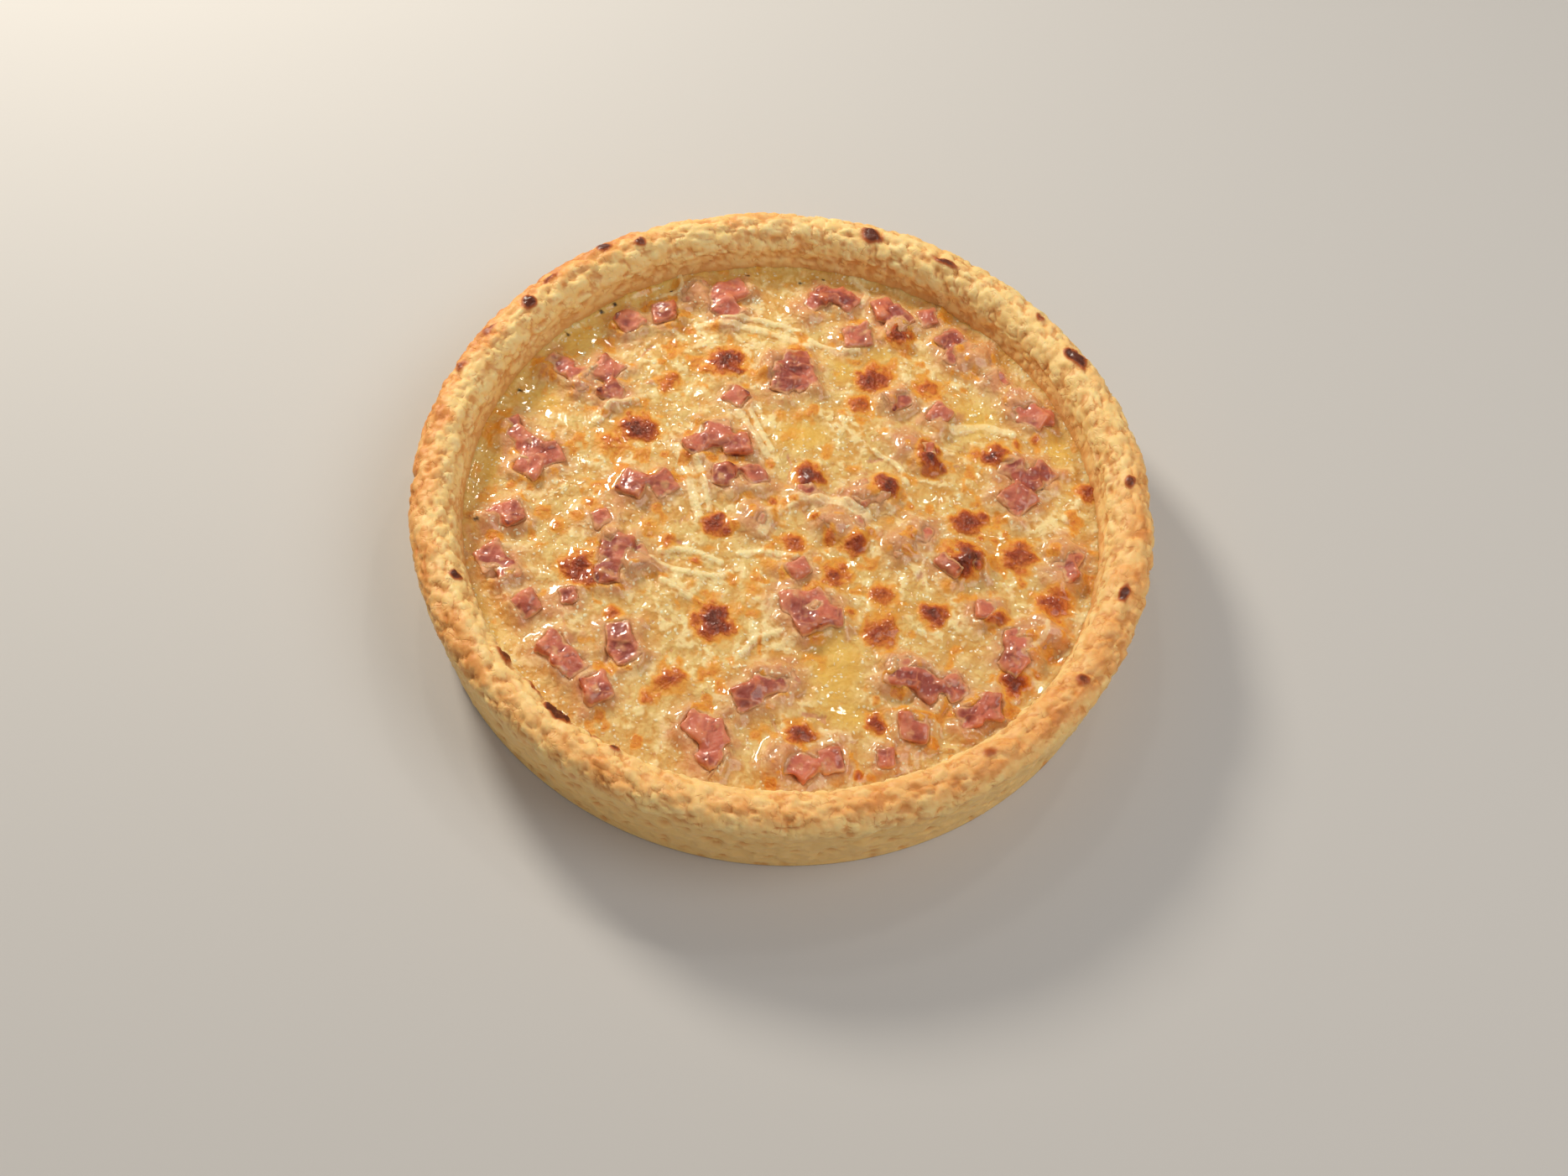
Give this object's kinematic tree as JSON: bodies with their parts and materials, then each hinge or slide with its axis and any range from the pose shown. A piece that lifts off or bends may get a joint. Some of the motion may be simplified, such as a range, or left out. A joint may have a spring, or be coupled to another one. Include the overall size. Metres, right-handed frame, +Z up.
{
  "type": "quiche",
  "caption": "Round ham and cheese quiche: a deep shortcrust case with a toasted rim, set custard under browned melted cheese, and diced ham standing out of it.",
  "frame": {"origin": "centre of the base, on the surface that the quiche rests on", "axes": "+Z up along the quiche's axis, -Y towards the side that faces the viewer, +X to the viewer's right"},
  "size_m": [0.2412, 0.2407, 0.0377],
  "materials": {
    "pastry": "matte baked shortcrust",
    "cheese": "glossy melted cheese",
    "ham": "moist cooked ham"
  },
  "bodies": {
    "root": {"crust": "pastry", "filling": "cheese", "ham_01": "ham", "ham_02": "ham", "ham_03": "ham", "ham_04": "ham", "ham_05": "ham", "ham_06": "ham", "ham_07": "ham", "ham_08": "ham", "ham_09": "ham", "ham_10": "ham", "ham_11": "ham", "ham_12": "ham", "ham_13": "ham", "ham_14": "ham", "ham_15": "ham", "ham_16": "ham", "ham_17": "ham", "ham_18": "ham", "ham_19": "ham", "ham_20": "ham", "ham_21": "ham", "ham_22": "ham", "ham_23": "ham", "ham_24": "ham", "ham_25": "ham", "ham_26": "ham", "ham_27": "ham", "ham_28": "ham", "ham_29": "ham", "ham_30": "ham", "ham_31": "ham", "ham_32": "ham", "ham_33": "ham", "ham_34": "ham", "ham_35": "ham", "ham_36": "ham", "ham_37": "ham", "ham_38": "ham", "ham_39": "ham", "ham_40": "ham", "ham_41": "ham", "ham_42": "ham", "ham_43": "ham", "ham_44": "ham", "ham_45": "ham", "ham_46": "ham", "ham_47": "ham", "ham_48": "ham"}
  },
  "joints": []
}
